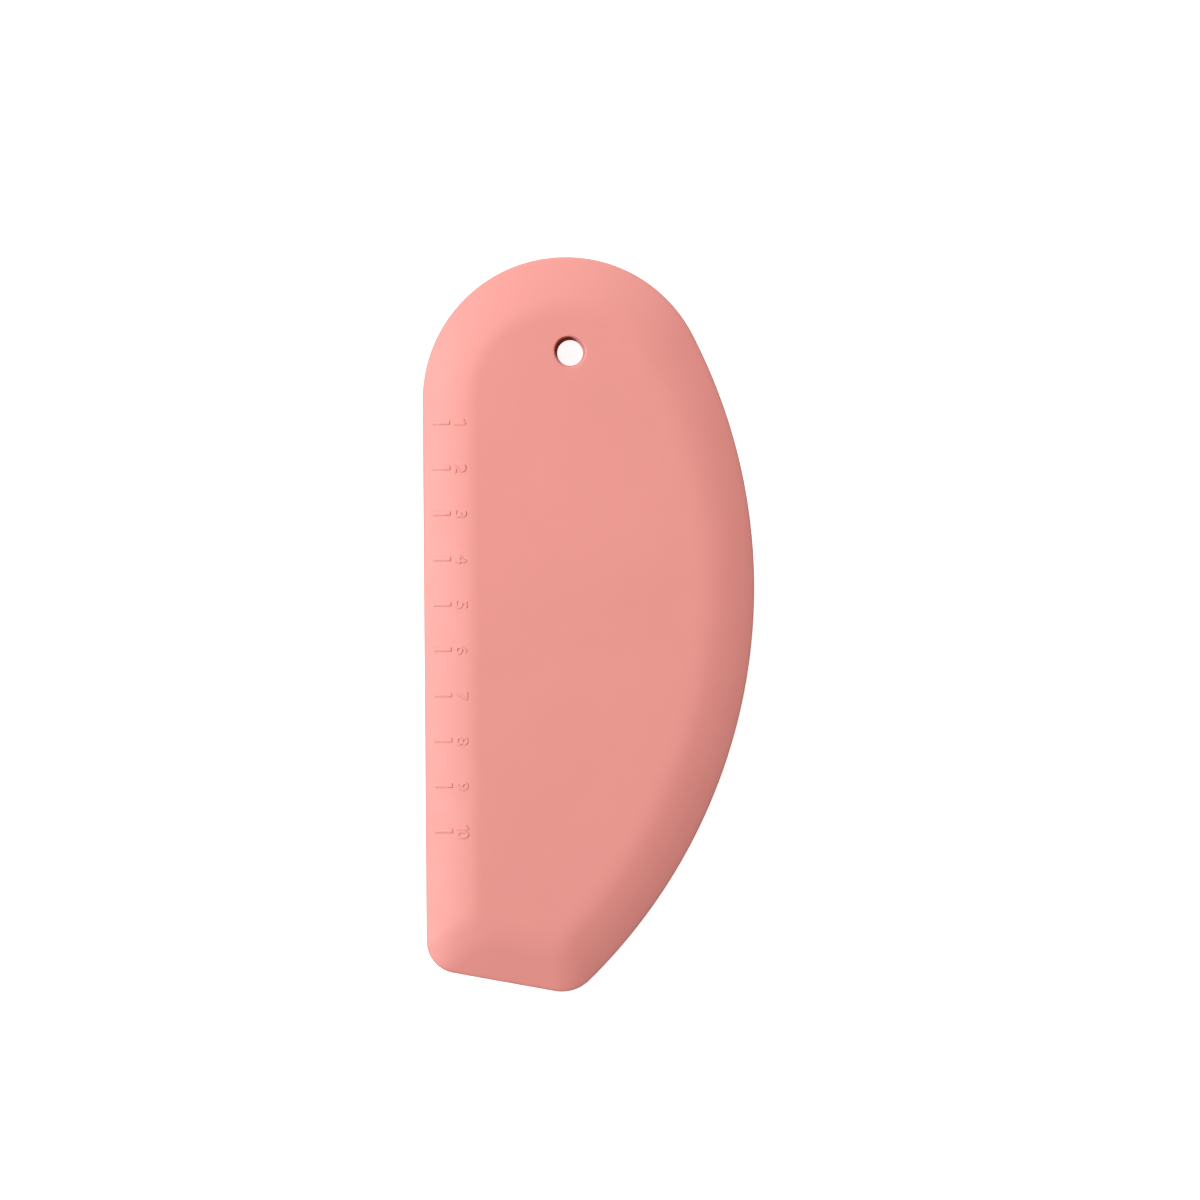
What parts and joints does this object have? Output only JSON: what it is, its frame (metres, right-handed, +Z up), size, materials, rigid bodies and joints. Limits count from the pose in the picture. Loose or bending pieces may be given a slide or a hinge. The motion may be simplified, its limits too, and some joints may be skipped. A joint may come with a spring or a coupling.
{
  "type": "bowl scraper",
  "caption": "Silicone bowl scraper with a straight and a curved scraping edge, a raised centimetre scale and a hanging hole, moulded over a stiffening core.",
  "frame": {"origin": "under the middle of the outline, on the surface that the scraper lies on", "axes": "+Z up through the thickness, +Y along the length towards the round head with the hanging hole, +X towards the curved scraping edge; the straight scale edge is on -X"},
  "size_m": [0.073, 0.1622, 0.0074],
  "materials": {
    "silicone": "matte",
    "core_nylon": "matte"
  },
  "bodies": {
    "root": {"silicone_body": "silicone", "stiffening_core": "core_nylon"}
  },
  "joints": []
}
